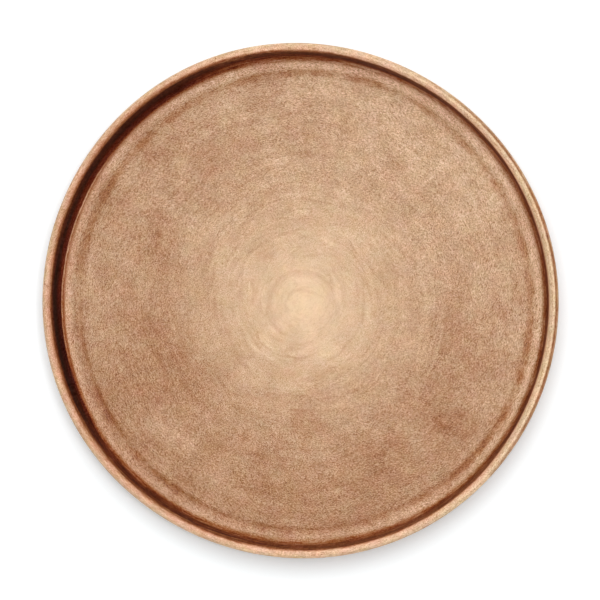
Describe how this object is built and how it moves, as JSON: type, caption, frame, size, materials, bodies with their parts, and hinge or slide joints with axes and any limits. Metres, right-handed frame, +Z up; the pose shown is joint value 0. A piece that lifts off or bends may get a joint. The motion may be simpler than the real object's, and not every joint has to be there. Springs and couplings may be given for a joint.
{
  "type": "stoneware dinner plate",
  "caption": "Round glazed stoneware dinner plate with a flat floor, a low upright rim, a faint turned ring near the floor's edge and a foot ring to stand on.",
  "frame": {"origin": "centre of the underside, on the plane that the foot ring stands on", "axes": "+Z up along the axis that the plate was turned on, out of its open face; +X and +Y lie in the plane of the table"},
  "size_m": [0.2796, 0.2796, 0.022],
  "materials": {
    "glaze": "satin"
  },
  "bodies": {
    "root": {"plate": "glaze"}
  },
  "joints": []
}
